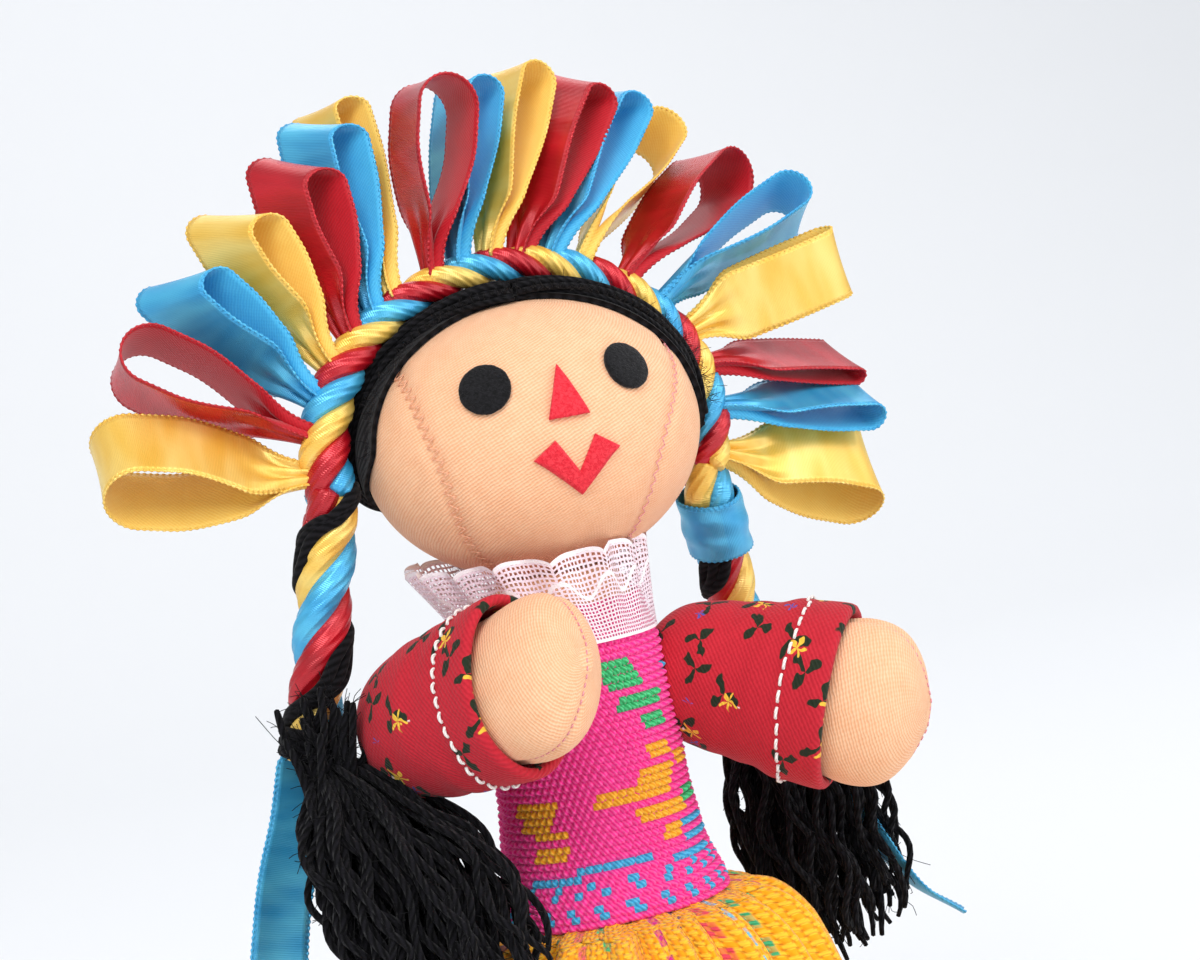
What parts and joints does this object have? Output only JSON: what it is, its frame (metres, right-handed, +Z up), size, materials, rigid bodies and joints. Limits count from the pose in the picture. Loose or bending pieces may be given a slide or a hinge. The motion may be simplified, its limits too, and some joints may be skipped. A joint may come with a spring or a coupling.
{
  "type": "cloth doll",
  "caption": "Standing cloth doll with stuffed head, body and limbs, yarn braids, a crown of ribbon loops, a woven bodice and a gathered skirt.",
  "frame": {"origin": "on the floor between the shoes, under the middle of the whole doll's box", "axes": "+Z up; the doll faces -Y; its left hand is on the +X side"},
  "size_m": [0.1396, 0.0898, 0.2343],
  "materials": {
    "skin_cloth": "woven cotton, matte",
    "bodice_cloth": "coarse hand weave, matte",
    "lace": "net lace",
    "skirt_cloth": "coarse hand weave, matte",
    "binding_red": "twill",
    "hair_yarn": "plied yarn, matte",
    "felt_black": "felt",
    "felt_red": "felt",
    "satin_yellow": "satin ribbon",
    "satin_red": "satin ribbon",
    "satin_blue": "satin ribbon",
    "sleeve_cloth": "printed twill, matte"
  },
  "bodies": {
    "torso": {"torso": "skin_cloth", "bodice": "bodice_cloth", "collar_lace": "lace", "skirt": "skirt_cloth", "skirt_binding": "binding_red", "head": "skin_cloth", "hair_cap": "hair_yarn", "eye_right": "felt_black", "eye_left": "felt_black", "nose": "felt_red", "mouth": "felt_red", "crown_braid": "satin_yellow", "ribbon_loop_01": "satin_yellow", "ribbon_loop_02": "satin_red", "ribbon_loop_03": "satin_blue", "ribbon_loop_04": "satin_yellow", "ribbon_loop_05": "satin_red", "ribbon_loop_06": "satin_blue", "ribbon_loop_07": "satin_yellow", "ribbon_loop_08": "satin_red", "ribbon_loop_09": "satin_blue", "ribbon_loop_10": "satin_yellow", "ribbon_loop_11": "satin_red", "ribbon_loop_12": "satin_blue", "ribbon_loop_13": "satin_yellow", "ribbon_loop_14": "satin_red", "ribbon_loop_15": "satin_blue", "ribbon_loop_16": "satin_yellow", "ribbon_loop_17": "satin_red", "ribbon_loop_18": "satin_blue", "ribbon_loop_19": "satin_yellow"},
    "arm_right": {"arm_right": "skin_cloth", "sleeve_right": "sleeve_cloth"},
    "arm_left": {"arm_left": "skin_cloth", "sleeve_left": "sleeve_cloth"},
    "legs": {"leg_right": "skin_cloth", "shoe_right": "felt_black", "sole_right": "felt_black", "leg_left": "skin_cloth", "shoe_left": "felt_black", "sole_left": "felt_black"},
    "braid_right": {"braid_right": "hair_yarn", "tassel_tie_right": "hair_yarn", "tassel_right": "hair_yarn", "ribbon_tail_right": "satin_blue"},
    "braid_left": {"braid_left": "hair_yarn", "tassel_tie_left": "hair_yarn", "braid_wrap_left": "satin_blue", "tassel_left": "hair_yarn", "ribbon_tail_left": "satin_blue"}
  },
  "joints": [
    {"name": "shoulder_right", "type": "hinge", "parent": "torso", "child": "arm_right", "pos_m": [-0.02335, -0.0095, 0.1305], "axis": [-0.891, -0.454, 0], "range_deg": [-28, 3]},
    {"name": "shoulder_left", "type": "hinge", "parent": "torso", "child": "arm_left", "pos_m": [0.02565, -0.001, 0.127], "axis": [-0.5446, -0.8387, 0], "range_deg": [-16, 55]},
    {"name": "hip_fold", "type": "hinge", "parent": "torso", "child": "legs", "pos_m": [0.00265, -0.004, 0.074], "axis": [-1, 0, 0], "range_deg": [0, 90], "deforming": ["skirt", "skirt_binding"]},
    {"name": "braid_right_swing", "type": "hinge", "parent": "torso", "child": "braid_right", "pos_m": [-0.03171, -0.00317, 0.164], "axis": [0, 1, 0], "range_deg": [0, 30]},
    {"name": "braid_left_swing", "type": "hinge", "parent": "torso", "child": "braid_left", "pos_m": [0.03324, 0.00992, 0.15584], "axis": [0, -1, 0], "range_deg": [0, 30]}
  ]
}
